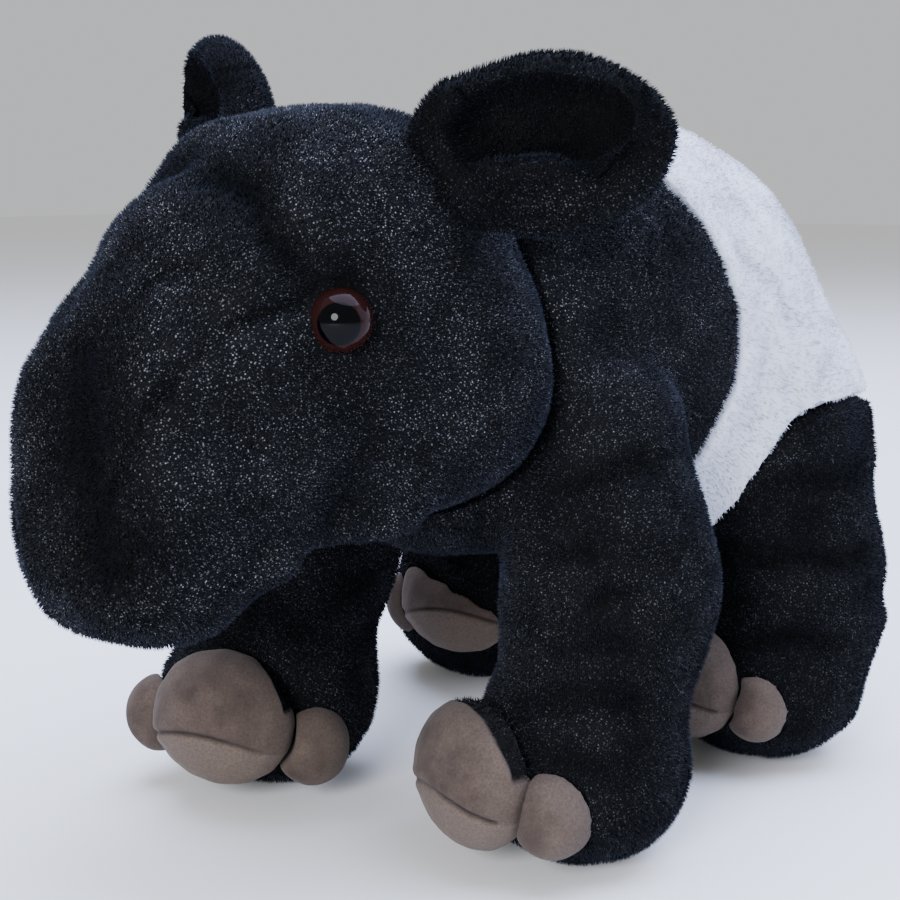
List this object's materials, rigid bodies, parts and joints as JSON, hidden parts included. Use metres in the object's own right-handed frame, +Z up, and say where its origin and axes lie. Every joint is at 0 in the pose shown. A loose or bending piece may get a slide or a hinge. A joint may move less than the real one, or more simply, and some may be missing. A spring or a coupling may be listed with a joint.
{
  "type": "plush tapir toy",
  "caption": "Stuffed plush Malayan tapir standing on four feet, head low and turned aside, black fore and hind parts with a cream saddle, flopped ears, stub tail and padded toes; a soft toy.",
  "frame": {"origin": "under the middle of the toy's bounding box, on the floor", "axes": "+X to the tapir's left, +Y towards its tail, +Z up"},
  "size_m": [0.1922, 0.2914, 0.2211],
  "materials": {
    "black_plush": "short glossy plush pile, nearly black with a blue cast",
    "cream_plush": "short matt plush pile, cream white",
    "taupe_plush": "very short velour pile, greyish brown",
    "eye_plastic": "polished dome, reddish brown round a black pupil"
  },
  "bodies": {
    "root": {"head": "black_plush", "torso_front": "black_plush", "torso_saddle": "cream_plush", "tail": "cream_plush", "ear_left": "black_plush", "eye_left": "eye_plastic", "ear_right": "black_plush", "eye_right": "eye_plastic", "leg_front_left": "black_plush", "toe_front_left_middle": "taupe_plush", "toe_front_left_outer": "taupe_plush", "toe_front_left_inner": "taupe_plush", "leg_front_right": "black_plush", "toe_front_right_middle": "taupe_plush", "toe_front_right_outer": "taupe_plush", "toe_front_right_inner": "taupe_plush", "leg_hind_left": "black_plush", "toe_hind_left_middle": "taupe_plush", "toe_hind_left_outer": "taupe_plush", "toe_hind_left_inner": "taupe_plush", "leg_hind_right": "black_plush", "toe_hind_right_middle": "taupe_plush", "toe_hind_right_outer": "taupe_plush", "toe_hind_right_inner": "taupe_plush"}
  },
  "joints": []
}
